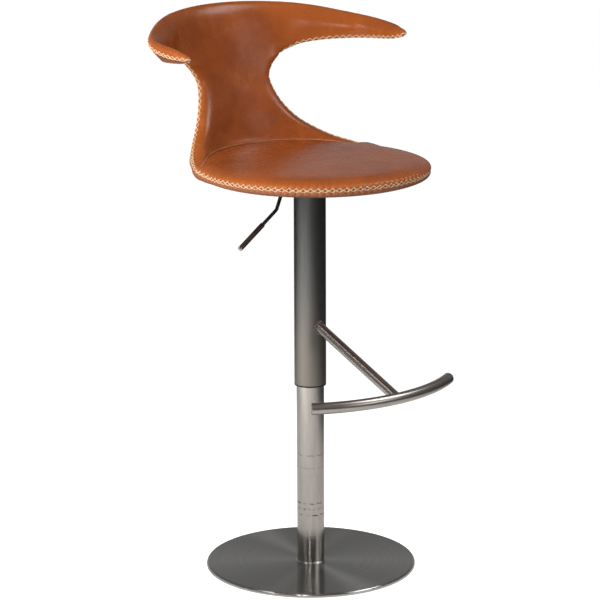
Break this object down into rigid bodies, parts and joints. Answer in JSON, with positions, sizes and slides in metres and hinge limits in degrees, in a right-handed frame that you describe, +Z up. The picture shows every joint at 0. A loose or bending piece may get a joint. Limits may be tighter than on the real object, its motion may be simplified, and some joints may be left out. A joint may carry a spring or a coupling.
{
  "type": "adjustable bar stool",
  "caption": "Adjustable bar stool with a round leather seat, a curved leather back with open arms, a swivelling gas lift column, a footrest and a round steel base.",
  "frame": {"origin": "centre of the base on the floor, on the axis of the column", "axes": "+Z up along the column, -Y towards the sitter's front, +X to the sitter's left; the lift is drawn raised and the seat faces -Y"},
  "size_m": [0.5592, 0.5738, 1.093],
  "materials": {
    "rubber_black": "matt",
    "raw_steel": "plain",
    "brushed_steel": "circular brushed",
    "satin_steel": "satin",
    "polished_steel": "polished",
    "fastener_steel": "zinc plated",
    "black_plastic": "matt",
    "black_paint": "satin black",
    "brass_pin": "plain",
    "dark_steel": "dark brushed",
    "grip_rubber": "matt",
    "birch_ply": "sanded plywood",
    "cognac_leather": "waxed aniline",
    "under_leather": "plain"
  },
  "bodies": {
    "base_body": {"floor_pad": "rubber_black", "base_weight": "raw_steel", "base_cover": "brushed_steel", "column_tube": "satin_steel", "column_foot": "raw_steel", "foot_ring": "polished_steel", "base_screws": "fastener_steel", "lower_race": "fastener_steel", "bearing_balls": "polished_steel", "column_bush": "black_plastic"},
    "rod_body": {"piston_rod": "polished_steel", "piston": "raw_steel", "upper_race": "fastener_steel", "bump_stop": "rubber_black", "rod_clip": "fastener_steel", "rod_washer": "fastener_steel"},
    "seat_body": {"pressure_tube": "black_paint", "rod_seal": "rubber_black", "taper_socket": "raw_steel", "cover_tube": "dark_steel", "cover_end_ring": "black_plastic", "cover_collar": "raw_steel", "collar_screws": "fastener_steel", "footrest_arm": "satin_steel", "arm_weld": "raw_steel", "footrest_bar": "satin_steel", "bar_end_caps": "satin_steel", "lever_housing": "black_paint", "seat_plate": "black_paint", "seat_screws": "fastener_steel", "screw_washers": "fastener_steel", "lever_pivot": "fastener_steel", "seat_board": "birch_ply", "back_core": "birch_ply", "seat_pad": "cognac_leather", "back_pad": "cognac_leather", "seat_undercover": "under_leather", "back_cover": "under_leather"},
    "lever_body": {"lever_rod": "black_paint", "lever_grip": "grip_rubber", "lever_tip": "polished_steel"},
    "pin_body": {"release_pin": "brass_pin"}
  },
  "joints": [
    {"name": "swivel", "type": "hinge", "parent": "base_body", "child": "rod_body", "pos_m": [0, 0, 0.019], "axis": [0, 0, 1], "continuous": true},
    {"name": "gas_lift", "type": "slide", "parent": "rod_body", "child": "seat_body", "axis": [0, 0, 1], "range_m": [-0.2, 0.015]},
    {"name": "lift_lever", "type": "hinge", "parent": "seat_body", "child": "lever_body", "pos_m": [-0.035, 0, 0.774], "axis": [0, 1, 0], "range_deg": [0, 7]},
    {"name": "release", "type": "slide", "parent": "seat_body", "child": "pin_body", "axis": [0, 0, -1], "range_m": [0, 0.0046]}
  ],
  "couplings": [
    {"joint": "release", "follows": "lift_lever", "m_per_rad": 0.0375}
  ]
}
